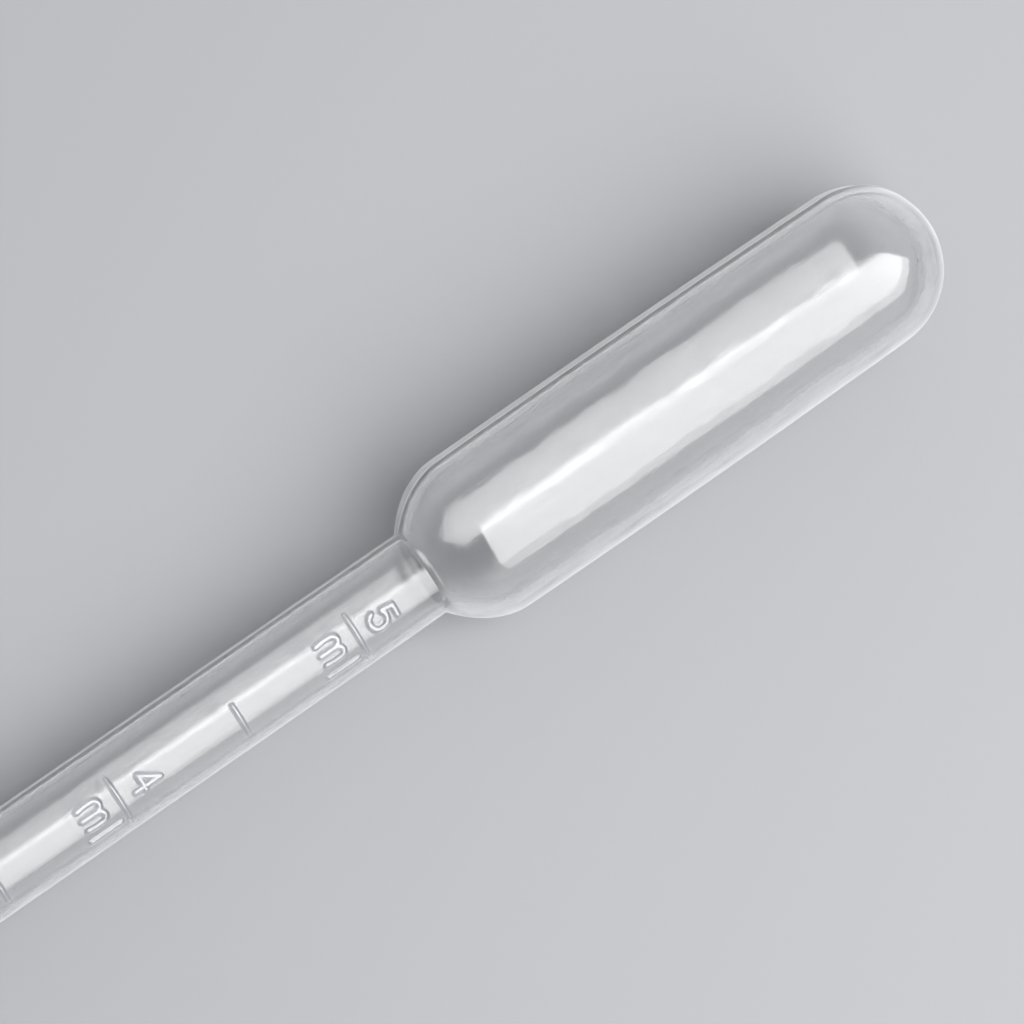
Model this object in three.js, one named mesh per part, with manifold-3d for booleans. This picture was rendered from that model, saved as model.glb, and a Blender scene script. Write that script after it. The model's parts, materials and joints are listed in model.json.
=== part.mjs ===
// Graduated dropper pipette: one blow-moulded body of low-density polyethylene.
//
// A thin nozzle widens through a long taper into a straight stem, and the stem opens
// over a rounded shoulder into a closed squeeze bulb with a domed end. Raised bars on
// the stem mark the volume that stands in the bore, and a fine ridge runs round the
// whole body where the two halves of the mould met.
//
// Millimetres, +Z up. The pipette lies on its side as it comes to rest on a bench: the
// nozzle points to -X and the bulb to +X. It touches the bench where the stem begins and
// under the bulb's shoulder. The origin is on the bench, under the middle of its box.

import * as THREE from 'three';
import { mergeVertices } from 'three/addons/utils/BufferGeometryUtils.js';
import Module from 'manifold-3d';

// ---- Driving dimensions, in millimetres ----

const NOZZLE_OD = 3.0;
const NOZZLE_WALL = 0.5;
const NOZZLE_LENGTH = 15;
const TAPER_LENGTH = 22;
const TAPER_BLEND = 0.3; // share of the taper over which each end curves into it

const STEM_OD = 8.4;
const STEM_WALL = 0.65;

const BULB_OD = 16.15; // at the middle of the bulb, which is slightly barrelled
const BULB_END_OD = 15.85; // where the shoulder and the dome begin
const BULB_LENGTH = 57.5; // from the neck corner to the end of the dome
const BULB_WALL = 1.2;
const DOME_WALL = 1.5;
const SHOULDER_LENGTH = 6.2;
const SHOULDER_FULLNESS = 1.75; // exponent of the shoulder's curve: 2 is an ellipse
const NECK_FILLET = 0.5;

const FULL_SCALE = 5000; // cubic millimetres that the last bar marks
const GRADUATION = 500; // cubic millimetres between bars
const BARS_PER_UNIT = 2; // every second bar marks a whole millilitre and is longer
const LAST_BAR_TO_NECK = 8.5;
const BAR_WIDTH = 0.45;
const BAR_HEIGHT = 0.18;
const BAR_EASE = 0.14; // how far the bars' edges are eased
const LONG_BAR_SPAN = THREE.MathUtils.degToRad(74);
const SHORT_BAR_SPAN = THREE.MathUtils.degToRad(48);

const RIDGE_WIDTH = 0.3;
const RIDGE_HEIGHT = 0.12;

// Angles about the pipette's axis run from straight up towards -Y.
const SCALE_ANGLE = THREE.MathUtils.degToRad(23); // the middle of the bars
const PARTING_ANGLE = SCALE_ANGLE + Math.PI / 2; // the plane of the mould's joint

// ---- Fineness of the facets ----

const FACETS = 28; // round the body
const TAPER_STEPS = 8;
const FILLET_STEPS = 2;
const SHOULDER_STEPS = 6;
const BARREL_STEPS = 6;
const DOME_STEPS = 8;
const BAR_ARC_STEPS = 6;
const BAR_EDGE_STEPS = 1;
const FACET_ANGLE = (2 * Math.PI) / FACETS;

// ---- Sizes that follow from them ----

const nozzleRadius = NOZZLE_OD / 2;
const stemRadius = STEM_OD / 2;
const bulbRadius = BULB_OD / 2;
const bulbEndRadius = BULB_END_OD / 2;
const stemBore = stemRadius - STEM_WALL;
const taperEnd = NOZZLE_LENGTH + TAPER_LENGTH;

// The shoulder is cut from a full half-dome at the radius of the stem. This is the
// length that the half-dome would have if it ran on to the axis.
const shoulderDepth =
  SHOULDER_LENGTH / (1 - (stemRadius / bulbEndRadius) ** SHOULDER_FULLNESS) ** (1 / SHOULDER_FULLNESS);

// The bars stand where the bore below them holds their volume.
const volumeBelowStem = revolvedVolume([
  new THREE.Vector2(nozzleRadius - NOZZLE_WALL, 0),
  ...taperPoints(nozzleRadius - NOZZLE_WALL, stemBore),
]);
const neckHeight = heightOfVolume(FULL_SCALE) + LAST_BAR_TO_NECK;
const domeStart = neckHeight + BULB_LENGTH - bulbEndRadius;

function heightOfVolume(volume) {
  return taperEnd + (volume - volumeBelowStem) / (Math.PI * stemBore ** 2);
}

function revolvedVolume(points) {
  let volume = 0;
  for (let i = 1; i < points.length; i++) {
    const [a, b] = [points[i - 1], points[i]];
    volume += (Math.PI / 3) * (b.y - a.y) * (a.x ** 2 + a.x * b.x + b.x ** 2);
  }
  return volume;
}

// ---- The half-section: x is the radius, y the height from the nozzle's end ----

function taperPoints(lowRadius, highRadius) {
  const blend = TAPER_LENGTH * TAPER_BLEND;
  return new THREE.CubicBezierCurve(
    new THREE.Vector2(lowRadius, NOZZLE_LENGTH),
    new THREE.Vector2(lowRadius, NOZZLE_LENGTH + blend),
    new THREE.Vector2(highRadius, taperEnd - blend),
    new THREE.Vector2(highRadius, taperEnd)
  ).getPoints(TAPER_STEPS);
}

// Rises from the radius lowRadius to the radius highRadius along a superellipse whose
// widest point lies at the end of the shoulder.
function shoulderPoints(lowRadius, highRadius, depth) {
  const power = 2 / SHOULDER_FULLNESS;
  const start = Math.acos((lowRadius / highRadius) ** (1 / power));
  const widest = neckHeight + SHOULDER_LENGTH;
  const points = [];
  for (let i = 0; i <= SHOULDER_STEPS; i++) {
    const angle = start * (1 - i / SHOULDER_STEPS);
    const radius = highRadius * Math.cos(angle) ** power;
    points.push(new THREE.Vector2(radius, widest - depth * Math.sin(angle) ** power));
  }
  return points;
}

// The bulb's side, a shallow arc from the shoulder to the dome without its end points.
function barrelPoints(inset) {
  const start = neckHeight + SHOULDER_LENGTH;
  const points = [];
  for (let i = 1; i < BARREL_STEPS; i++) {
    const share = i / BARREL_STEPS;
    const swell = 4 * share * (1 - share) * (bulbRadius - bulbEndRadius);
    const height = THREE.MathUtils.lerp(start, domeStart, share);
    points.push(new THREE.Vector2(bulbEndRadius + swell - inset, height));
  }
  return points;
}

function domePoints(radius, length) {
  const points = [];
  for (let i = 0; i < DOME_STEPS; i++) {
    const angle = (i / DOME_STEPS) * (Math.PI / 2);
    points.push(new THREE.Vector2(radius * Math.cos(angle), domeStart + length * Math.sin(angle)));
  }
  points.push(new THREE.Vector2(0, domeStart + length));
  return points;
}

// Rounds the corner at points[index] with a curve that touches both of its sides.
function roundCorner(points, index, radius) {
  const corner = points[index];
  const back = points[index - 1].clone().sub(corner).normalize();
  const ahead = points[index + 1].clone().sub(corner);
  const sideLength = ahead.length();
  ahead.normalize();
  const reach = Math.min(radius / Math.tan(back.angleTo(ahead) / 2), sideLength * 0.9);
  const start = corner.clone().addScaledVector(back, reach);
  const end = corner.clone().addScaledVector(ahead, reach);
  const curve = new THREE.QuadraticBezierCurve(start, corner, end);
  points.splice(index, 1, ...curve.getPoints(FILLET_STEPS));
}

// One skin of the pipette. Each value is how far the skin lies inside the outer surface
// in that zone, so that zeros give the outer surface and the walls give the bore. It
// starts at the height startHeight, which lies below the nozzle's end for the bore.
function skinProfile({ nozzle, stem, bulb, dome, startHeight = 0 }) {
  const taper = taperPoints(nozzleRadius - nozzle, stemRadius - stem);
  const shoulder = shoulderPoints(stemRadius - stem, bulbEndRadius - bulb, shoulderDepth - bulb);
  const points = [
    new THREE.Vector2(0, startHeight),
    new THREE.Vector2(nozzleRadius - nozzle, startHeight),
    ...taper,
    ...shoulder,
    ...barrelPoints(bulb),
    ...domePoints(bulbEndRadius - bulb, bulbEndRadius - dome),
  ];
  roundCorner(points, points.indexOf(shoulder[0]), NECK_FILLET + stem);
  return points;
}

const OUTER_SURFACE = { nozzle: 0, stem: 0, bulb: 0, dome: 0 };

// ---- Solids ----

const wasm = await Module();
wasm.setup();

// Loads a closed geometry into the boolean kernel: corners that coincide are merged, and
// the triangles that have no area at the poles of a revolve are left out.
function solidFrom(geometry) {
  geometry.deleteAttribute('normal');
  geometry.deleteAttribute('uv');
  const merged = mergeVertices(geometry);
  const index = merged.index.array;
  const triangles = [];
  for (let i = 0; i < index.length; i += 3) {
    const [a, b, c] = [index[i], index[i + 1], index[i + 2]];
    if (a !== b && b !== c && c !== a) triangles.push(a, b, c);
  }
  return new wasm.Manifold(
    new wasm.Mesh({
      numProp: 3,
      vertProperties: new Float32Array(merged.attributes.position.array),
      triVerts: new Uint32Array(triangles),
    })
  );
}

function geometryFrom(solid) {
  const mesh = solid.getMesh();
  const geometry = new THREE.BufferGeometry();
  geometry.setAttribute('position', new THREE.BufferAttribute(mesh.vertProperties, 3));
  geometry.setIndex(new THREE.BufferAttribute(mesh.triVerts, 1));
  geometry.computeVertexNormals();
  return geometry;
}

// Revolves a half-section about the X axis, with one facet facing straight down.
function revolved(profile) {
  const geometry = new THREE.LatheGeometry(profile, FACETS, FACET_ANGLE / 2);
  geometry.rotateZ(-Math.PI / 2);
  return solidFrom(geometry);
}

// One raised bar: an arc of a ring with eased edges, rooted in the stem's wall.
function graduationBar(height, span) {
  const root = stemRadius - STEM_WALL / 2;
  const crest = stemRadius + BAR_HEIGHT;
  const middle = Math.PI / 2 + SCALE_ANGLE;
  const outline = new THREE.Shape();
  outline.absarc(0, 0, crest, middle - span / 2, middle + span / 2, false);
  outline.absarc(0, 0, root, middle + span / 2, middle - span / 2, true);
  const geometry = new THREE.ExtrudeGeometry(outline, {
    depth: BAR_WIDTH - 2 * BAR_EASE,
    curveSegments: BAR_ARC_STEPS,
    bevelThickness: BAR_EASE,
    bevelSize: BAR_EASE,
    bevelOffset: -BAR_EASE,
    bevelSegments: BAR_EDGE_STEPS,
  });
  const alongStem = new THREE.Matrix4().makeBasis(
    new THREE.Vector3(0, 1, 0),
    new THREE.Vector3(0, 0, 1),
    new THREE.Vector3(1, 0, 0)
  );
  geometry.applyMatrix4(alongStem);
  geometry.translate(height - BAR_WIDTH / 2 + BAR_EASE, 0, 0);
  return solidFrom(geometry);
}

// The ridge is where a thin plate in the mould's joint meets a skin just outside the body.
function partingRidge() {
  const rise = -RIDGE_HEIGHT;
  const skin = revolved(skinProfile({ nozzle: rise, stem: rise, bulb: rise, dome: rise }));
  const length = 2 * (neckHeight + BULB_LENGTH);
  const plate = new THREE.BoxGeometry(length, RIDGE_WIDTH, 2 * BULB_OD);
  plate.rotateX(PARTING_ANGLE);
  return skin.intersect(solidFrom(plate));
}

function pipetteSolid() {
  let body = revolved(skinProfile(OUTER_SURFACE));
  body = body.add(partingRidge());
  const bars = Math.round(FULL_SCALE / GRADUATION);
  for (let bar = 1; bar <= bars; bar++) {
    const height = heightOfVolume(bar * GRADUATION);
    const clearOfTaper = height - BAR_WIDTH > taperEnd;
    const span = bar % BARS_PER_UNIT === 0 ? LONG_BAR_SPAN : SHORT_BAR_SPAN;
    if (clearOfTaper) body = body.add(graduationBar(height, span));
  }
  const bore = skinProfile({
    nozzle: NOZZLE_WALL,
    stem: STEM_WALL,
    bulb: BULB_WALL,
    dome: DOME_WALL,
    startHeight: -NOZZLE_OD,
  });
  return body.subtract(revolved(bore));
}

// ---- The pipette as it lies on a bench ----

// Where the pipette balances, as a height from the nozzle's end.
function balanceHeight(geometry) {
  const corners = geometry.attributes.position;
  const index = geometry.index.array;
  let volume = 0;
  let moment = 0;
  for (let i = 0; i < index.length; i += 3) {
    const [a, b, c] = [0, 1, 2].map((j) => new THREE.Vector3().fromBufferAttribute(corners, index[i + j]));
    const share = a.dot(b.clone().cross(c));
    volume += share;
    moment += (share * (a.x + b.x + c.x)) / 4;
  }
  return moment / volume;
}

// The pipette lies on two of its rings, one on each side of the point where it balances:
// the two whose common tangent runs furthest out under that point. This is the slope of
// that tangent.
function restingTilt(balance) {
  const outer = skinProfile(OUTER_SURFACE).filter((point) => point.x > 0);
  const flat = Math.cos(FACET_ANGLE / 2);
  let furthest = 0;
  let tilt = 0;
  for (const low of outer.filter((point) => point.y < balance)) {
    for (const high of outer.filter((point) => point.y >= balance)) {
      const slope = (high.x - low.x) / (high.y - low.y);
      const radius = low.x + slope * (balance - low.y);
      if (radius > furthest) {
        furthest = radius;
        tilt = Math.atan(slope * flat);
      }
    }
  }
  return tilt;
}

const polyethylene = new THREE.MeshStandardMaterial({
  name: 'polyethylene',
  color: 0xd5d9df,
  roughness: 0.25,
  metalness: 0,
  transparent: true,
  opacity: 0.6,
});

const pipette = new THREE.Mesh(geometryFrom(pipetteSolid()), polyethylene);
pipette.name = 'pipette';
pipette.rotation.y = -restingTilt(balanceHeight(pipette.geometry));

const model = new THREE.Group();
model.add(pipette);
const box = new THREE.Box3().setFromObject(model, true);
const middle = box.getCenter(new THREE.Vector3());
model.position.set(-middle.x, -middle.y, -box.min.z);

export default model;
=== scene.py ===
"""Looks of a graduated dropper pipette, moulded in one piece from polyethylene.

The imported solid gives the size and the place. The piece that shows is a half-section
spun about the axis. It has both skins of the wall, so light passes through it as
through the real one. Its scale and parting ridge are raised from the outer skin.
"""

import json
import math

import bmesh
import bpy
import numpy as np
from bpy.props import FloatProperty, FloatVectorProperty, PointerProperty
from mathutils import Matrix, Vector


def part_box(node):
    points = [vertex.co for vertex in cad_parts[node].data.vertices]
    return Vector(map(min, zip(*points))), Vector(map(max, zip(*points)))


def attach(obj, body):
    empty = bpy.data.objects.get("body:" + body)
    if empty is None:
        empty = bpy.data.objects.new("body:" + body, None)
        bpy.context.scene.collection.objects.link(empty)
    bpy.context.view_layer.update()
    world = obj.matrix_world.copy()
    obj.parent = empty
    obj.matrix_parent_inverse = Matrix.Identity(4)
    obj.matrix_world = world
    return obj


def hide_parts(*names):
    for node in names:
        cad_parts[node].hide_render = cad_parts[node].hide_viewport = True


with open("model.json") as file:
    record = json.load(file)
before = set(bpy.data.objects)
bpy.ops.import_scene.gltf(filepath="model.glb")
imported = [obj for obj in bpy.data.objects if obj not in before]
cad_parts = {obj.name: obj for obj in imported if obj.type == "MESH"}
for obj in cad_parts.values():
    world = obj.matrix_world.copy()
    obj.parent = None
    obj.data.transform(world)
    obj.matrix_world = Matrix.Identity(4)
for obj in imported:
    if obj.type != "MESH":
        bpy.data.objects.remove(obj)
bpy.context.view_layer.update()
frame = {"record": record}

bl_info = {
    "name": "Dropper Pipette",
    "version": (1, 0, 0),
    "blender": (4, 5, 0),
    "location": "3D View > Sidebar > Pipette",
    "description": "Models a graduated squeeze-bulb pipette and the stage that it lies on",
    "category": "Object",
}

NODE = "pipette"
BODY = "root"

MM = 0.001
MICRON = 1e-6

# Angles about the axis run from straight up towards -Y.
SCALE_ANGLE = math.radians(23)
PARTING_ANGLE = SCALE_ANGLE + math.pi / 2

TAPER_BLEND = 0.3  # share of the taper over which each of its ends curves
SHOULDER_FULLNESS = 1.75  # exponent of the shoulder's curve: 2 is an ellipse
BORE_NECK_EASE = 2  # the neck's corner is eased this many times as far in the bore
NECK_CLEARANCE = 1.5  # the stem is a true cylinder up to this many eases below the neck
SOLID_FACETS = 28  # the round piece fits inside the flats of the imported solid
LIP_EASE = 0.12 * MM  # how far the edges of the nozzle's end are rounded
LIP_CUT = 0.3 * LIP_EASE  # how far the middle of that rounding lies from both faces
RIDGE_REACH = 0.3 * MM  # from the middle of the parting ridge to its foot

HALF_MILLILITRE = 0.5e-6  # cubic metres
GRADUATIONS = 10

# Spacings of the mesh
COLUMN_ANGLE = math.radians(3.5)
RIDGE_COLUMN_ANGLE = math.radians(1)
RIDGE_COLUMNS = 4
NOZZLE_RING = 3 * MM
BORE_RING = 3 * MM
PLAIN_RING = 1.3 * MM
MARK_RING = 0.34 * MM
MARK_MARGIN = 0.75 * MARK_RING  # beyond a stroke's foot, where the faces are still cut finely
MARK_CUTS = 3
TAPER_STEPS = 22
NECK_STEPS = 6
SHOULDER_STEPS = 24
BARREL_STEPS = 60
DOME_STEPS = 24

# Attributes of the piece's points
STROKE_HEIGHT = "stroke_height"  # 1 along a mark's crest, 0 off the marks
SHINE = "shine"  # 0 on the stem, 1 along the marks and inside the bulb's lower wall
BULB_SHINE = 0.3  # on the rest of the bulb
SHINE_TURN = 0.2  # cosine of the angle from straight up over which the bore's shine changes

# The uneven wall
BORE_WAVELENGTH = 8 * MM
BORE_RIPPLE = 2.4 * MM
SKIN_RIPPLE = 1.8 * MM
BULB_FADE = 4 * MM  # how far past the shoulder the bore comes to its full unevenness
LEAST_WEIGHT = 0.001  # points that a change moves less than this are left out of it


# ---- Sizes and colours that a user would change ----


def size(name, description, millimetres):
    return FloatProperty(
        name=name,
        description=description,
        default=millimetres * MM,
        min=0.0,
        precision=5,
        unit="LENGTH",
    )


def share(name, description, default):
    return FloatProperty(
        name=name,
        description=description,
        default=default,
        min=0.0,
        max=1.0,
        subtype="FACTOR",
    )


def colour(name, description, default):
    return FloatVectorProperty(
        name=name,
        description=description,
        default=default,
        min=0.0,
        max=1.0,
        size=3,
        subtype="COLOR",
    )


class PipetteSizes(bpy.types.PropertyGroup):
    nozzle_diameter: size("Nozzle diameter", "Outside of the nozzle", 3.0)
    nozzle_wall: size("Nozzle wall", "Thickness of the nozzle's wall", 0.5)
    nozzle_length: size("Nozzle length", "Length of the straight nozzle", 15)
    taper_length: size("Taper length", "From the nozzle to the stem", 22)
    stem_diameter: size("Stem diameter", "Outside of the stem", 8.4)
    stem_wall: size("Stem wall", "Thickness of the stem's wall", 0.65)
    neck_ease: size("Neck ease", "How far the corner at the neck is eased", 0.3)
    shoulder_length: size("Shoulder length", "From the neck to the bulb's side", 6.2)
    bulb_diameter: size("Bulb diameter", "Outside of the bulb at its middle", 16.15)
    bulb_end_diameter: size("Bulb end diameter", "Outside where the bulb's ends begin", 15.85)
    bulb_length: size("Bulb length", "From the neck to the end of the dome", 57.5)
    bulb_wall: size("Bulb wall", "Mean thickness of the bulb's wall", 1.2)
    dome_wall: size("Dome wall", "Thickness of the wall at the end of the dome", 1.5)
    bore_shift: size("Bore shift", "How far the bulb's bore lies off its axis", 0.2)
    bore_waves: size("Bore waves", "Depth of the long waves in the bulb's inner skin", 0.08)
    bore_ripples: size("Bore ripples", "Depth of the short waves in the same skin", 0.08)
    skin_ripples: size("Skin ripples", "Depth of the fine unevenness of the outer skin", 0.03)
    last_bar_to_neck: size("Last bar to neck", "From the last bar to the neck", 8.5)
    mark_height: size("Mark height", "How far the bars and numbers stand proud", 0.18)
    mark_width: size("Mark width", "Width of the numbers' strokes at their foot", 0.75)
    bar_width: size("Bar width", "Width of the bars at their foot", 0.55)
    ridge_height: size("Ridge height", "How far the parting ridge stands proud", 0.12)


class PlasticLook(bpy.types.PropertyGroup):
    clear_tint: colour("Clear tint", "Colour of the thinner plastic", (0.955, 0.958, 0.962))
    milky_tint: colour("Milky tint", "Colour of the cloudier plastic", (0.975, 0.976, 0.978))
    # Painted shade: a darker tint on the marks' steep sides, which draws dark outlines round the
    # strokes
    flank_shade_tint: colour("Flank tint", "Colour of the steep sides of the marks", (0.55, 0.58, 0.64))
    haze_tint: colour("Haze tint", "Colour of the light that the skin scatters", (0.97, 0.98, 1.0))
    clearness: share("Clearness", "Share of the light that the plastic lets through", 0.98)
    gloss: share("Gloss", "Roughness of the smoothest plastic", 0.04)
    haze: share("Haze", "Roughness of the dullest plastic", 0.1)
    polish: share("Polish", "Gloss of the stem, as a share of the marks' gloss", 0.28)


class StageLook(bpy.types.PropertyGroup):
    floor_tint: colour("Floor tint", "Colour of the floor and backdrop", (0.4, 0.406, 0.422))
    lamp_radiance: FloatProperty(
        name="Lamp radiance",
        description="Brightness of the soft lamp's face",
        default=3.15,
        min=0.0,
    )
    room_light: FloatProperty(
        name="Room light",
        description="Mean brightness of the light from all round",
        default=0.42,
        min=0.0,
    )
    room_lean: share("Room lean", "How much brighter the room is across from the lamp", 0.75)


# ---- The half-section ----


def taper_points(low_radius, high_radius, start, end):
    """Radii and heights along the taper, which curves gently at both of its ends."""
    blend = (end - start) * TAPER_BLEND
    points = []
    for along in np.linspace(0, 1, TAPER_STEPS + 1):
        left = 1 - along
        weights = (left**3, 3 * left**2 * along, 3 * left * along**2, along**3)
        radii = (low_radius, low_radius, high_radius, high_radius)
        heights = (start, start + blend, end - blend, end)
        points.append((np.dot(weights, radii), np.dot(weights, heights)))
    return points


def shoulder_points(low_radius, high_radius, widest, depth):
    """A superellipse that rises from low_radius to its widest point, at height widest."""
    power = 2 / SHOULDER_FULLNESS
    start = math.acos((low_radius / high_radius) ** (1 / power))
    return [
        (high_radius * math.cos(angle) ** power, widest - depth * math.sin(angle) ** power)
        for angle in np.linspace(start, 0, SHOULDER_STEPS + 1)
    ]


def barrel_points(end_radius, swell, start, end):
    """The bulb's side, a shallow arc without its two end points."""
    return [
        (end_radius + 4 * along * (1 - along) * swell, start + (end - start) * along)
        for along in np.linspace(0, 1, BARREL_STEPS + 1)[1:-1]
    ]


def dome_points(radius, length, start):
    """A quarter of an ellipse that closes on the axis."""
    points = [
        (radius * math.cos(angle), start + length * math.sin(angle))
        for angle in np.linspace(0, math.pi / 2, DOME_STEPS + 1)[:-1]
    ]
    return points + [(0.0, start + length)]


def eased_corner(run, reach):
    """Curves the corner between a straight stem and the run of points that leaves it."""
    corner = Vector(run[0])
    rest = [point for point in run if (Vector(point) - corner).length > reach]
    start = corner - Vector((0, reach))
    end = Vector(rest[0])
    curve = []
    for along in np.linspace(0, 1, NECK_STEPS + 1)[:-1]:
        point = start.lerp(corner, along).lerp(corner.lerp(end, along), along)
        curve.append(tuple(point))
    return curve + rest


class HalfSection:
    """Radii and heights of the wall's two skins, in metres from the nozzle's end."""

    def __init__(self, sizes, length):
        self.sizes = sizes
        self.taper_end = sizes.nozzle_length + sizes.taper_length
        self.neck = length - sizes.bulb_length
        self.shoulder_end = self.neck + sizes.shoulder_length
        self.bulb_radius = sizes.bulb_end_diameter / 2
        self.dome_start = length - self.bulb_radius
        stem_share = sizes.stem_diameter / sizes.bulb_end_diameter
        cut_share = (1 - stem_share**SHOULDER_FULLNESS) ** (1 / SHOULDER_FULLNESS)
        self.shoulder_depth = sizes.shoulder_length / cut_share

        bore = sizes.stem_diameter / 2 - sizes.stem_wall
        pitch = HALF_MILLILITRE / (math.pi * bore**2)
        last_bar = self.neck - sizes.last_bar_to_neck
        self.bars = [last_bar - pitch * (GRADUATIONS - n) for n in range(1, GRADUATIONS + 1)]

        self.outer = self.skin(0, 0, 0, 0, sizes.neck_ease, self.outer_stem_heights())
        self.inner = self.skin(
            sizes.nozzle_wall,
            sizes.stem_wall,
            sizes.bulb_wall,
            sizes.dome_wall,
            sizes.neck_ease * BORE_NECK_EASE,
            spaced(self.taper_end, self.neck, BORE_RING),
        )

    def outer_stem_heights(self):
        """Heights of the stem's rings, which lie closer together where marks are raised."""
        heights = []
        low = self.taper_end
        for number, bar in enumerate(self.bars, start=1):
            below, above = mark_reach(number)
            heights += spaced(low, bar - below, PLAIN_RING)
            heights += spaced(bar - below, bar + above, MARK_RING)
            low = bar + above
        return heights + spaced(low, self.neck, PLAIN_RING)

    def skin(self, nozzle, stem, bulb, dome, ease, stem_heights):
        """One skin; the walls say how far it lies inside the outer surface."""
        sizes = self.sizes
        nozzle_radius = sizes.nozzle_diameter / 2 - nozzle
        stem_radius = sizes.stem_diameter / 2 - stem
        bulb_radius = self.bulb_radius - bulb
        swell = (sizes.bulb_diameter - sizes.bulb_end_diameter) / 2
        nozzle_heights = spaced(0, sizes.nozzle_length, NOZZLE_RING)
        straight = [(nozzle_radius, height) for height in nozzle_heights]
        taper = taper_points(nozzle_radius, stem_radius, sizes.nozzle_length, self.taper_end)
        shoulder = shoulder_points(
            stem_radius, bulb_radius, self.shoulder_end, self.shoulder_depth - bulb
        )
        neck = eased_corner(shoulder, ease)
        stem_run = [(stem_radius, height) for height in stem_heights if height < neck[0][1]]
        side = barrel_points(bulb_radius, swell, self.shoulder_end, self.dome_start)
        end = dome_points(bulb_radius, self.bulb_radius - dome, self.dome_start)
        return straight + taper + stem_run[1:] + neck + side + end

    def around(self):
        """The whole outline, from the bore's far end to the nozzle and back outside."""
        bore, rim = self.inner[0][0], self.outer[0][0]
        lip = [
            (bore, LIP_EASE),
            (bore + LIP_CUT, LIP_CUT),
            (bore + LIP_EASE, 0),
            (rim - LIP_EASE, 0),
            (rim - LIP_CUT, LIP_CUT),
            (rim, LIP_EASE),
        ]
        return self.inner[:0:-1] + lip + self.outer[1:]

    def outer_side(self, radii, heights):
        """True where a point belongs to the outer skin."""
        outer_radii, outer_heights = np.array(self.outer).T
        inner_radii, inner_heights = np.array(self.inner).T
        outside = np.interp(heights, outer_heights, outer_radii)
        inside = np.interp(heights, inner_heights, inner_radii, right=0)
        return radii > (outside + inside) / 2


def spaced(start, end, spacing):
    """Even heights from start up to but without end, about spacing apart."""
    count = max(1, round((end - start) / spacing))
    return [start + (end - start) * step / count for step in range(count)]


# ---- The scale's strokes ----

# Strokes are drawn in millimetres on the unrolled stem: across to the right of the middle
# of the scale, and up towards the bulb from the bar that they belong to.
NUMERAL_MIDDLE = -0.37
LONG_BAR = math.radians(74)  # how far a bar goes round the stem
SHORT_BAR = math.radians(48)
BAR_END = 0.2  # millimetres that its rounding takes up at each end of a bar

# Below and above the bar
NUMBERED_REACH = (4.9 * MM, 4.8 * MM)
PLAIN_REACH = (0.8 * MM, 0.8 * MM)


def arc(across, up, half_width, half_height, start, end, steps=14):
    """Part of an ellipse, from one angle to another in degrees."""
    return [
        (across + half_width * math.cos(angle), up + half_height * math.sin(angle))
        for angle in np.radians(np.linspace(start, end, steps + 1))
    ]


NUMERALS = {
    1: [[(-0.5, 3.45), (0.1, 4.05), (0.1, 1.5)]],
    2: [arc(0, 3.32, 0.72, 0.73, 165, -25) + [(-0.75, 1.5), (0.78, 1.5)]],
    3: [arc(0, 3.4, 0.66, 0.64, 155, -90) + arc(0, 2.12, 0.78, 0.65, 90, -155)],
    4: [[(0.3, 1.5), (0.3, 4.05), (-0.85, 2.42), (0.6, 2.42)]],
    5: [
        [(0.55, 4.03), (-0.52, 4.03), (-0.66, 3.0)] + arc(-0.03, 2.28, 0.86, 0.86, 128, -158),
    ],
}
LETTER_M = [
    [(-1.62, -3.7), (-1.72, -2.9)]
    + arc(-1.17, -2.3, 0.53, 0.6, 170, 25)
    + arc(-0.07, -2.3, 0.53, 0.6, 155, 10)
    + [(0.48, -2.9), (0.38, -3.7)],
    [(-0.62, -2.05), (-0.62, -3.75)],
]
LETTER_L = [[(1.69, -0.95), (1.69, -4.0)]]


def is_whole(number):
    """True for the graduations of whole millilitres, which carry their number."""
    return number % 2 == 0


def mark_reach(number):
    """How far below and above its bar a graduation's strokes reach."""
    return NUMBERED_REACH if is_whole(number) else PLAIN_REACH


def bar_stroke(number, stem_radius):
    """The middle line of a graduation's bar."""
    span = LONG_BAR if is_whole(number) else SHORT_BAR
    half_bar = span / 2 * stem_radius / MM - BAR_END
    return [(-half_bar, 0), (half_bar, 0)]


def lettering(number):
    """The strokes of a graduation's numeral and unit, if it has them."""
    if not is_whole(number):
        return []
    numeral = NUMERALS[number // 2]
    strokes = [[(NUMERAL_MIDDLE + across, up) for across, up in line] for line in numeral]
    return strokes + LETTER_M + LETTER_L


def distance_to_stroke(points, stroke):
    """Distance of each point from a run of straight lines."""
    nearest = np.full(len(points), np.inf)
    corners = np.array(stroke)
    for start, end in zip(corners, corners[1:]):
        along = end - start
        share_along = np.clip((points - start) @ along / (along @ along), 0, 1)
        gap = np.linalg.norm(points - (start + share_along[:, None] * along), axis=1)
        nearest = np.minimum(nearest, gap)
    return nearest


def distance_to_scale(section, angles, heights):
    """Distance over the stem's surface from the middle of the nearest stroke, in metres.

    Distances from a bar are stretched, so that its foot, too, is at half the mark width.
    """
    stem_radius = section.sizes.stem_diameter / 2
    turned = (angles - SCALE_ANGLE + math.pi) % (2 * math.pi) - math.pi
    across = turned * stem_radius / MM
    stretch = section.sizes.mark_width / section.sizes.bar_width
    nearest = np.full(len(angles), np.inf)
    for number, bar in enumerate(section.bars, start=1):
        below, above = mark_reach(number)
        near = (heights > bar - below) & (heights < bar + above)
        points = np.stack([across[near], (heights[near] - bar) / MM], axis=1)
        nearest_here = distance_to_stroke(points, bar_stroke(number, stem_radius)) * stretch
        for stroke in lettering(number):
            nearest_here = np.minimum(nearest_here, distance_to_stroke(points, stroke))
        nearest[near] = nearest_here
    return nearest * MM


def raised(distance, half_width):
    """Height share of a round-topped ridge: 1 along its crest and 0 beyond its foot."""
    return 1 - np.clip(distance / half_width, 0, 1) ** 2


# ---- Shader nodes ----


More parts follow.
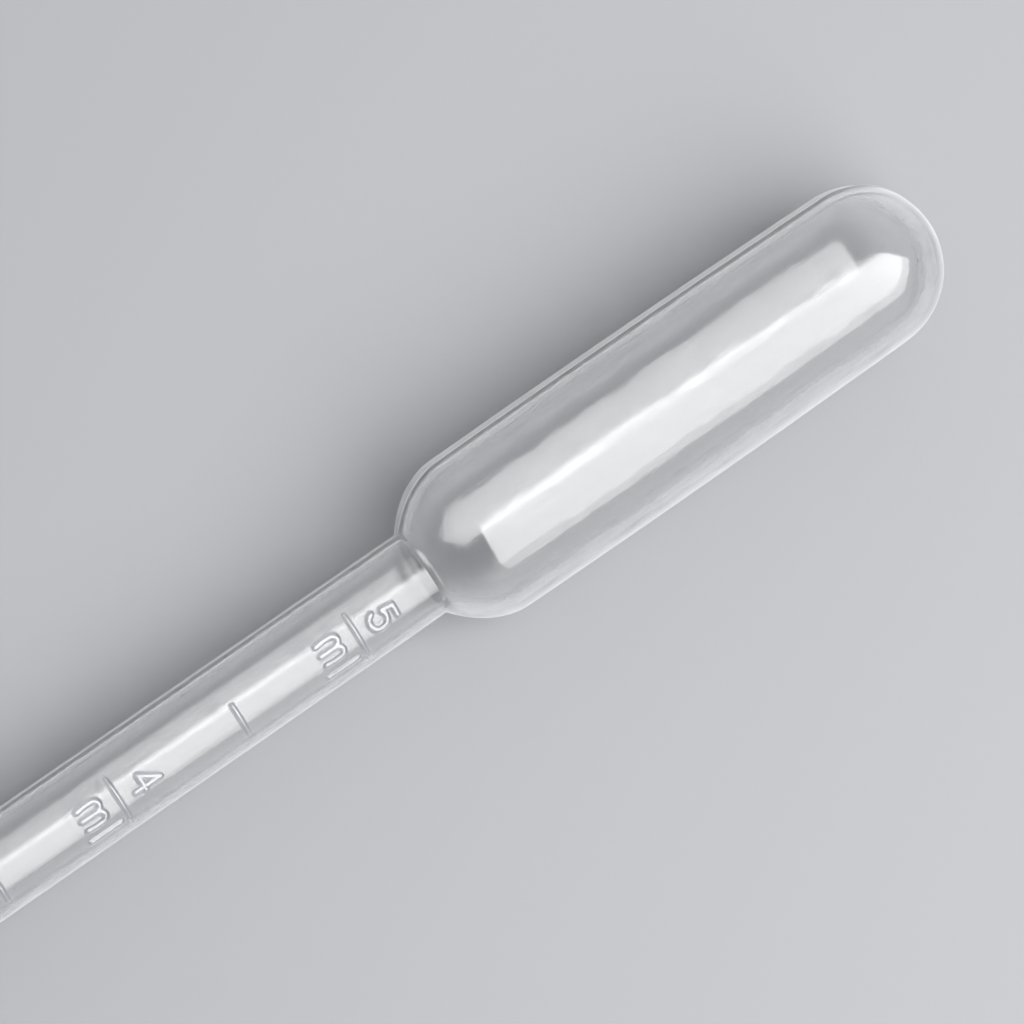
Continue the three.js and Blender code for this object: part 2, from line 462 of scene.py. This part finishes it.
class Amount:
    """A socket's number; arithmetic on it adds the Math nodes that work it out."""

    def __init__(self, shader, socket):
        self.shader = shader
        self.socket = socket

    def maths(self, operation, *values):
        node = self.shader.add("ShaderNodeMath", {"operation": operation}, dict(enumerate(values)))
        return Amount(self.shader, node.outputs[0])

    def at_least(self, other):
        return self.maths("MAXIMUM", self, other)

    def root(self):
        return self.maths("SQRT", self)

    def __abs__(self):
        return self.maths("ABSOLUTE", self)

    def __add__(self, other):
        return self.maths("ADD", self, other)

    def __sub__(self, other):
        return self.maths("SUBTRACT", self, other)

    def __rsub__(self, other):
        return self.maths("SUBTRACT", other, self)

    def __mul__(self, other):
        return self.maths("MULTIPLY", self, other)

    __radd__ = __add__
    __rmul__ = __mul__


class Shader:
    """Builds the nodes of a material, a lamp or the world."""

    def __init__(self, owner):
        owner.use_nodes = True
        self.tree = owner.node_tree
        self.tree.nodes.clear()

    def add(self, kind, settings=None, values=None):
        """Adds a node: first its settings, then its sockets' values or links."""
        node = self.tree.nodes.new(kind)
        for name, setting in (settings or {}).items():
            setattr(node, name, setting)
        for name, value in (values or {}).items():
            if isinstance(value, Amount):
                value = value.socket
            if isinstance(value, bpy.types.NodeSocket):
                self.tree.links.new(value, node.inputs[name])
            else:
                node.inputs[name].default_value = value
        return node

    def amount(self, kind, settings=None, values=None, output=0):
        """Adds a node and gives one of its outputs as an Amount."""
        return Amount(self, self.add(kind, settings, values).outputs[output])

    def fade(self, value, start, end):
        """Goes smoothly from 0 where the value is start to 1 where it is end."""
        return self.amount(
            "ShaderNodeMapRange",
            {"interpolation_type": "SMOOTHSTEP"},
            {"Value": value, "From Min": start, "From Max": end},
        )


# ---- The plastic ----

# Scales of the patterns, in cells per metre
CLOUDS = 90
MOTTLE = 700
SPECKS = 210
SWELLS = 160
DIMPLES = 600
LINES = 2000
GRAIN = 3000
DRAWN_OUT = (0.04, 1, 1)  # the lines are stretched along the axis

# Heights of the skin's fine relief, in microns
SWELL_HEIGHT = 70.0
DIMPLE_HEIGHT = 8.0
LINE_HEIGHT = 9.0
GRAIN_HEIGHT = 10.0
SPECK_HEIGHT = 40.0

CLOUD_SHARE = 0.7  # of the clouds in the tint; the mottle has the rest
SPECK_EDGE = 0.035  # share of a cell from a speck's middle to its foot
SPECK_TOP = 0.01  # and to the edge of its flat top
LEAST_COAT = 0.6  # coat of the dullest spots, where the skin is polished
COAT_OF_LINES = 0.5
COAT_OF_GRAIN = 0.3


def plastic_material(look, along):
    """Cloudy, glossy polyethylene with faint lines along it from the moulding, and painted shade
    on the marks' steep sides.
    """
    material = bpy.data.materials.new("cloudy_polyethylene")
    shader = Shader(material)
    place = shader.add(
        "ShaderNodeMapping",
        {"vector_type": "POINT"},
        {
            "Vector": shader.add("ShaderNodeTexCoord").outputs["Object"],
            "Rotation": (0, math.atan2(along.z, along.x), 0),
        },
    ).outputs[0]
    drawn_out = shader.add(
        "ShaderNodeVectorMath", {"operation": "MULTIPLY"}, {0: place, 1: DRAWN_OUT}
    ).outputs[0]

    def attribute(name):
        return shader.amount("ShaderNodeAttribute", {"attribute_name": name}, output=2)

    def noise(vector, scale, detail=2, roughness=0.5):
        return shader.amount(
            "ShaderNodeTexNoise",
            {"noise_dimensions": "3D"},
            {"Vector": vector, "Scale": scale, "Detail": detail, "Roughness": roughness},
        )

    from_speck = shader.amount("ShaderNodeTexVoronoi", None, {"Vector": place, "Scale": SPECKS})
    specks = shader.fade(from_speck, SPECK_EDGE, SPECK_TOP)
    clouds = noise(place, CLOUDS, detail=3)
    mottle = noise(place, MOTTLE, detail=3, roughness=0.6)
    swells = noise(place, SWELLS, detail=1)
    dimples = noise(place, DIMPLES, detail=1)
    lines = noise(drawn_out, LINES)
    grain = noise(place, GRAIN)
    relief = (
        swells * SWELL_HEIGHT
        + dimples * DIMPLE_HEIGHT
        + lines * LINE_HEIGHT
        + grain * GRAIN_HEIGHT
        + specks * SPECK_HEIGHT
    )
    bump = shader.add(
        "ShaderNodeBump", None, {"Strength": 1.0, "Distance": MICRON, "Height": relief}
    )

    stroke = attribute(STROKE_HEIGHT)
    # Painted shade: the share of the darker flank tint, highest halfway up each side of a mark
    shaded_flank = stroke * (1 - stroke) * 4
    polish = attribute(SHINE) * (1 - look.polish) + look.polish
    milkiness = clouds * CLOUD_SHARE + mottle * (1 - CLOUD_SHARE)
    body_tint = shader.add(
        "ShaderNodeMix",
        {"data_type": "RGBA"},
        {0: milkiness, 6: (*look.clear_tint, 1), 7: (*look.milky_tint, 1)},
    ).outputs[2]
    # Painted shade: mixes the darker flank tint into the plastic's colour along the marks' sides
    tint = shader.add(
        "ShaderNodeMix",
        {"data_type": "RGBA"},
        {0: shaded_flank, 6: body_tint, 7: (*look.flank_shade_tint, 1)},
    )
    plastic = shader.add(
        "ShaderNodeBsdfPrincipled",
        None,
        {
            "Base Color": tint.outputs[2],
            "Roughness": look.gloss + mottle * (look.haze - look.gloss),
            "IOR": 1.51,
            "Transmission Weight": look.clearness,
            "Coat Weight": polish * (lines * COAT_OF_LINES + grain * COAT_OF_GRAIN + LEAST_COAT),
            "Coat Roughness": 0.03,
            "Coat IOR": 1.8,
            "Sheen Weight": 0.9,
            "Sheen Roughness": 0.55,
            "Sheen Tint": (*look.haze_tint, 1),
            "Normal": bump.outputs[0],
        },
    )
    shader.add("ShaderNodeOutputMaterial", None, {"Surface": plastic.outputs[0]})
    return material


# ---- Modelling ----


def axis_frame():
    """The nozzle's end, the directions along and up, and the length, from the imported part."""
    mount = next(m for m in frame["record"]["mounts"] if m["name"] == "nozzle_end")
    along = -Vector(mount["axis"]).normalized()
    upward = Vector((-along.z, 0, along.x))
    sizes = bpy.context.scene.pipette_sizes
    ring_middle = (sizes.nozzle_diameter - sizes.nozzle_wall) / 2
    start = Vector(mount["pos_m"]) - upward * ring_middle
    length = (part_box(NODE)[1].x - start.x) / along.x - sizes.ridge_height
    return start, along, upward, length


def start_piece(name, add, **options):
    """Adds a primitive with nothing else selected and names its object."""
    bpy.ops.object.select_all(action="DESELECT")
    add(**options)
    piece = bpy.context.object
    piece.name = name
    piece.data.name = name
    return piece


def draw_outline(points):
    """Draws the half-section upright, point by point, in the plane where the spin starts."""
    start_angle = PARTING_ANGLE - RIDGE_COLUMN_ANGLE * RIDGE_COLUMNS / 2
    outward = Vector((math.cos(start_angle), math.sin(start_angle), 0))
    upright = [outward * radius + Vector((0, 0, height)) for radius, height in points]
    piece = start_piece(
        "polyethylene_pipette", bpy.ops.mesh.primitive_plane_add, size=MM, location=upright[0]
    )
    bpy.ops.object.transform_apply(location=True)
    bpy.ops.object.mode_set(mode="EDIT")
    bpy.ops.mesh.select_mode(type="VERT")
    bpy.ops.mesh.select_all(action="SELECT")
    bpy.ops.mesh.merge(type="CENTER")
    for here, there in zip(upright, upright[1:]):
        bpy.ops.mesh.extrude_region_move(TRANSFORM_OT_translate={"value": there - here})
    return piece


def spin_outline():
    """Spins the outline once round, with columns close together at the parting ridges."""
    ridge = RIDGE_COLUMN_ANGLE * RIDGE_COLUMNS
    side = math.pi - ridge
    bpy.ops.mesh.select_all(action="SELECT")
    for angle, steps in ((ridge, RIDGE_COLUMNS), (side, round(side / COLUMN_ANGLE))) * 2:
        bpy.ops.mesh.spin(steps=steps, angle=-angle, center=(0, 0, 0), axis=(0, 0, 1))
    bpy.ops.mesh.select_all(action="SELECT")
    bpy.ops.mesh.remove_doubles(threshold=MICRON)
    bpy.ops.mesh.normals_make_consistent(inside=False)


def cylindrical(points):
    """Radii, angles and heights of upright points."""
    return (
        np.hypot(points[:, 0], points[:, 1]),
        np.arctan2(points[:, 1], points[:, 0]),
        points[:, 2],
    )


def refine_marks(piece, section):
    """Cuts the stem's outer faces finely where a stroke will be raised."""
    mesh = bmesh.from_edit_mesh(piece.data)
    middles = np.array([face.calc_center_median() for face in mesh.faces])
    radii, angles, heights = cylindrical(middles)
    near_mark = section.sizes.mark_width / 2 + MARK_MARGIN
    chosen = distance_to_scale(section, angles, heights) < near_mark
    chosen &= section.outer_side(radii, heights)
    bpy.ops.mesh.select_mode(type="FACE")
    bpy.ops.mesh.select_all(action="DESELECT")
    for face, choice in zip(mesh.faces, chosen):
        face.select_set(bool(choice))
    bpy.ops.mesh.subdivide(number_cuts=MARK_CUTS)
    bpy.ops.mesh.select_mode(type="VERT")


def weigh(piece, name, weights):
    """Stores each point's share of a change as a vertex group."""
    group = piece.vertex_groups.new(name=name)
    for index in np.flatnonzero(weights > LEAST_WEIGHT):
        group.add([int(index)], float(weights[index]), "REPLACE")
    return group.name


def store(piece, name, values):
    """Stores a number for each point, for the material to read."""
    piece.data.attributes.new(name, "FLOAT", "POINT").data.foreach_set("value", values)


def apply_modifier(piece, kind, group, **settings):
    """Changes the points of a vertex group with a modifier and applies it."""
    modifier = piece.modifiers.new(group, kind)
    modifier.vertex_group = group
    for setting, value in settings.items():
        setattr(modifier, setting, value)
    bpy.ops.object.modifier_apply(modifier=modifier.name)


def displace(piece, group, strength, **settings):
    """Moves the points of a group by the strength, outwards unless the settings say else."""
    apply_modifier(piece, "DISPLACE", group, strength=strength, mid_level=0.0, **settings)


def roughen(piece, group, wavelength, depth, mid_level):
    """Moves the points of a group in and out by smooth noise; a mid_level of 1 only sinks."""
    waves = bpy.data.textures.new("uneven_wall", "CLOUDS")
    waves.noise_scale = wavelength
    waves.noise_depth = 1
    apply_modifier(
        piece,
        "DISPLACE",
        group,
        texture=waves,
        texture_coords="LOCAL",
        strength=depth,
        mid_level=mid_level,
    )
    bpy.data.textures.remove(waves)


def piece_points(piece):
    points = np.empty(len(piece.data.vertices) * 3)
    piece.data.vertices.foreach_get("co", points)
    return points.reshape(-1, 3)


def smooth_step(values, low, high):
    """Goes smoothly from 0 where a value is low to 1 where it is high."""
    rise = np.clip((values - low) / (high - low), 0, 1)
    return rise * rise * (3 - 2 * rise)


def round_stem(piece, section, on_stem):
    """Puts the finely cut faces' points on the stem's cylinder."""
    apply_modifier(
        piece,
        "CAST",
        weigh(piece, "outside of the stem", on_stem),
        cast_type="CYLINDER",
        factor=1.0,
        size=section.sizes.stem_diameter / 2,
        use_radius_as_size=False,
        use_z=False,
    )


def make_bore_uneven(piece, sizes, weights):
    """Shifts the bulb's inner skin sideways and gives it long and short waves."""
    group = weigh(piece, "bore of the bulb", weights)
    displace(piece, group, -sizes.bore_shift, direction="Y")
    roughen(piece, group, BORE_WAVELENGTH, sizes.bore_waves, 0.5)
    roughen(piece, group, BORE_RIPPLE, sizes.bore_ripples, 0.5)


def shape_skins(piece, section):
    """Rounds the fine faces to the stem, raises the marks and makes the wall uneven."""
    sizes = section.sizes
    radii, angles, heights = cylindrical(piece_points(piece))
    outer = section.outer_side(radii, heights)
    stem_top = section.neck - sizes.neck_ease * NECK_CLEARANCE
    on_stem = outer & (heights > section.taper_end) & (heights < stem_top)
    beyond_lip = outer & (heights > LIP_EASE)
    round_stem(piece, section, on_stem)

    strokes = raised(distance_to_scale(section, angles, heights), sizes.mark_width / 2)
    strokes = np.where(on_stem, strokes, 0)
    store(piece, STROKE_HEIGHT, strokes)
    displace(piece, weigh(piece, "raised scale", strokes), sizes.mark_height)

    from_joint = np.abs(radii * np.sin(angles - PARTING_ANGLE))
    ridge = np.where(beyond_lip, raised(from_joint, RIDGE_REACH), 0)
    displace(piece, weigh(piece, "parting ridge", ridge), sizes.ridge_height)

    in_bulb = smooth_step(heights, section.neck, section.shoulder_end + BULB_FADE)
    upper = smooth_step(np.cos(angles), -SHINE_TURN, SHINE_TURN)
    lower_bore = np.where(outer, 0, 1 - upper)
    store(piece, SHINE, strokes + in_bulb * (BULB_SHINE + (1 - BULB_SHINE) * lower_bore))
    make_bore_uneven(piece, sizes, np.where(outer, 0, in_bulb))
    roughen(piece, weigh(piece, "outer skin", beyond_lip), SKIN_RIPPLE, sizes.skin_ripples, 1.0)
    piece.vertex_groups.clear()


def lay_down(piece, start, along, upward):
    """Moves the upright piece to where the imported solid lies, inside the solid's flats."""
    inside_flats = math.cos(math.pi / SOLID_FACETS)
    sideways = along.cross(upward)
    turn = Matrix((upward, sideways, along)).transposed().to_4x4()
    fit = Matrix.Diagonal((inside_flats, inside_flats, 1, 1))
    piece.matrix_world = Matrix.Translation(start) @ turn @ fit
    bpy.ops.object.transform_apply(location=True, rotation=True, scale=True)


class OBJECT_OT_pipette(bpy.types.Operator):
    """Models the whole pipette as one wall with a raised scale"""

    bl_idname = "object.dropper_pipette"
    bl_label = "Pipette"
    bl_options = {"REGISTER", "UNDO"}

    def execute(self, context):
        start, along, upward, length = axis_frame()
        section = HalfSection(context.scene.pipette_sizes, length)
        piece = draw_outline(section.around())
        spin_outline()
        refine_marks(piece, section)
        bpy.ops.object.mode_set(mode="OBJECT")
        shape_skins(piece, section)
        bpy.ops.object.shade_smooth()
        lay_down(piece, start, along, upward)
        piece.data.materials.clear()
        piece.data.materials.append(plastic_material(context.scene.plastic_look, along))
        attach(piece, BODY)
        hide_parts(NODE)
        return {"FINISHED"}


# ---- Stage ----

FLOOR_SIDE = 6  # metres

VIEW_DISTANCE = 330 * MM
VIEW_LEAN = math.radians(11.5)  # how far the camera leans back towards the nozzle
VIEW_ROLL = math.radians(34.68)  # how far the pipette rises to the right in the view
VIEW_LENS = 129.8
VIEW_PAST_NECK = 9.8 * MM  # from the neck to the middle of the view
VIEW_ASIDE = -0.13 * MM

LAMP_DISTANCE = 450 * MM
LAMP_ANGLE = math.radians(24.8)  # round the pipette's axis, from above towards -Y
LAMP_PAST_NECK = 260 * MM  # from the neck to the lamp's middle
LAMP_LENGTH = 740 * MM
LAMP_WIDTH = 740 * MM
LAMP_CORE = 500 * MM  # from the lamp's -Y side to where it is brightest
LAMP_PEAK = 1.3  # brightness at the core, as a share of the lamp's radiance
LAMP_FALLOFF = 1.2  # what it would lose at a lamp's width from the core
LAMP_POINT = 310 * MM  # from the -Y side to the point of the lamp's far end
LAMP_POINT_SLOPE = 1.25  # how steeply its far edges run back from that point
LAMP_CORNER = 160 * MM  # radius of the corner between its near end and its -Y side

# Widths over which the lamp fades out
NEAR_FADE = 18 * MM  # at its near end and its -Y side
POINT_FADE = 50 * MM
FAR_FADE = 200 * MM  # at its +Y side


def floor_material(look):
    material = bpy.data.materials.new("pale_floor")
    shader = Shader(material)
    place = shader.add("ShaderNodeTexCoord").outputs["Object"]
    grain = shader.amount(
        "ShaderNodeTexNoise", None, {"Vector": place, "Scale": 900, "Detail": 2}
    )
    surface = shader.add(
        "ShaderNodeBsdfPrincipled",
        None,
        {
            "Base Color": (*look.floor_tint, 1),
            "Roughness": 0.75 + grain * 0.1,
            "Specular IOR Level": 0.2,
        },
    )
    shader.add("ShaderNodeOutputMaterial", None, {"Surface": surface.outputs[0]})
    return material


def soften_lamp(lamp):
    """Fades the lamp's face towards its edges; its far end comes to a blunt point."""
    shader = Shader(lamp)
    face = shader.add("ShaderNodeNewGeometry").outputs["Parametric"]
    split = shader.add("ShaderNodeSeparateXYZ", None, {0: face}).outputs
    along = Amount(shader, split[0]) * LAMP_LENGTH
    across = Amount(shader, split[1]) * LAMP_WIDTH

    def into_corner(from_edge):
        depth = (LAMP_CORNER - from_edge).at_least(0.0)
        return depth * depth

    from_near_edges = LAMP_CORNER - (into_corner(along) + into_corner(across)).root()
    from_point = LAMP_LENGTH - along - abs(across - LAMP_POINT) * LAMP_POINT_SLOPE
    from_core = (across - LAMP_CORE) * (1 / LAMP_WIDTH)
    strength = (
        (LAMP_PEAK - from_core * from_core * LAMP_FALLOFF)
        * (shader.fade(from_near_edges, 0.0, NEAR_FADE) * shader.fade(from_point, 0.0, POINT_FADE))
        * shader.fade(LAMP_WIDTH - across, 0.0, FAR_FADE)
    )
    emission = shader.add("ShaderNodeEmission", None, {"Strength": strength})
    shader.add("ShaderNodeOutputLight", None, {"Surface": emission.outputs[0]})


def light_room(world, look):
    """Dim light from all round, mostly from across the lamp; seen, it looks like the floor."""
    shader = Shader(world)
    rays = shader.add("ShaderNodeLightPath").outputs
    seen = (
        Amount(shader, rays["Is Camera Ray"])
        + Amount(shader, rays["Is Glossy Ray"])
        + Amount(shader, rays["Is Transmission Ray"])
    )
    direction = shader.add("ShaderNodeTexCoord").outputs["Generated"]
    sideways = Amount(shader, shader.add("ShaderNodeSeparateXYZ", None, {0: direction}).outputs[1])
    room = (sideways * look.room_lean + 1) * look.room_light
    tint = shader.add(
        "ShaderNodeMix", {"data_type": "RGBA"}, {0: seen, 6: room, 7: (*look.floor_tint, 1)}
    )
    background = shader.add("ShaderNodeBackground", None, {"Color": tint.outputs[2]})
    shader.add("ShaderNodeOutputWorld", None, {"Surface": background.outputs[0]})


def facing(location, right, up):
    """The matrix of an object at location that looks along its own -Z."""
    turn = Matrix((right, up, right.cross(up))).transposed().to_4x4()
    return Matrix.Translation(location) @ turn


class OBJECT_OT_pipette_stage(bpy.types.Operator):
    """Lays the floor, hangs the soft lamp, lights the room and sets up the camera"""

    bl_idname = "object.dropper_pipette_stage"
    bl_label = "Stage"
    bl_options = {"REGISTER", "UNDO"}

    def execute(self, context):
        scene = context.scene
        look = scene.stage_look
        start, along, upward, length = axis_frame()
        neck = start + along * (length - scene.pipette_sizes.bulb_length)
        across = along.cross(upward)

        floor = start_piece("floor", bpy.ops.mesh.primitive_plane_add, size=FLOOR_SIDE)
        floor.data.materials.append(floor_material(look))

        from_above = upward * math.cos(LAMP_ANGLE) + across * math.sin(LAMP_ANGLE)
        bpy.ops.object.light_add(type="AREA")
        lamp = context.object
        lamp.name = "soft_lamp"
        lamp.data.shape = "RECTANGLE"
        lamp.data.size = LAMP_LENGTH
        lamp.data.size_y = LAMP_WIDTH
        lamp.data.energy = look.lamp_radiance * math.pi * LAMP_LENGTH * LAMP_WIDTH
        soften_lamp(lamp.data)
        lamp.matrix_world = facing(
            neck + along * LAMP_PAST_NECK + from_above * LAMP_DISTANCE,
            along,
            from_above.cross(along),
        )

        world = bpy.data.worlds.new("room")
        light_room(world, look)
        scene.world = world
        scene.view_settings.view_transform = "Standard"

        forward = along * math.sin(VIEW_LEAN) - upward * math.cos(VIEW_LEAN)
        in_view = (along - forward * math.sin(VIEW_LEAN)) / math.cos(VIEW_LEAN)
        left = -across
        right = in_view * math.cos(VIEW_ROLL) - left * math.sin(VIEW_ROLL)
        up = in_view * math.sin(VIEW_ROLL) + left * math.cos(VIEW_ROLL)
        target = neck + in_view * VIEW_PAST_NECK + left * VIEW_ASIDE
        bpy.ops.object.camera_add()
        camera = context.object
        camera.name = "camera"
        camera.data.sensor_width = 36
        camera.data.lens = VIEW_LENS
        camera.data.clip_start = 0.01
        camera.matrix_world = facing(target - forward * VIEW_DISTANCE, right, up)
        scene.camera = camera
        return {"FINISHED"}


# ---- Add-on ----


class VIEW3D_PT_pipette(bpy.types.Panel):
    """Lists the operators, and the sizes and colours that they use"""

    bl_idname = "VIEW3D_PT_dropper_pipette"
    bl_label = "Dropper Pipette"
    bl_space_type = "VIEW_3D"
    bl_region_type = "UI"
    bl_category = "Pipette"

    def draw(self, context):
        layout = self.layout
        for operator in (OBJECT_OT_pipette, OBJECT_OT_pipette_stage):
            layout.operator(operator.bl_idname)
        for title, group in GROUPS.items():
            settings = getattr(context.scene, title)
            column = layout.column()
            column.label(text=title.replace("_", " ").capitalize())
            for name in group.__annotations__:
                column.prop(settings, name)


GROUPS = {
    "pipette_sizes": PipetteSizes,
    "plastic_look": PlasticLook,
    "stage_look": StageLook,
}
CLASSES = (*GROUPS.values(), OBJECT_OT_pipette, OBJECT_OT_pipette_stage, VIEW3D_PT_pipette)


def register():
    for cls in CLASSES:
        bpy.utils.register_class(cls)
    for name, group in GROUPS.items():
        setattr(bpy.types.Scene, name, PointerProperty(type=group))


def unregister():
    for name in GROUPS:
        delattr(bpy.types.Scene, name)
    for cls in reversed(CLASSES):
        bpy.utils.unregister_class(cls)


def main():
    register()
    bpy.ops.object.dropper_pipette()
    bpy.ops.object.dropper_pipette_stage()


if __name__ == "__main__":
    main()
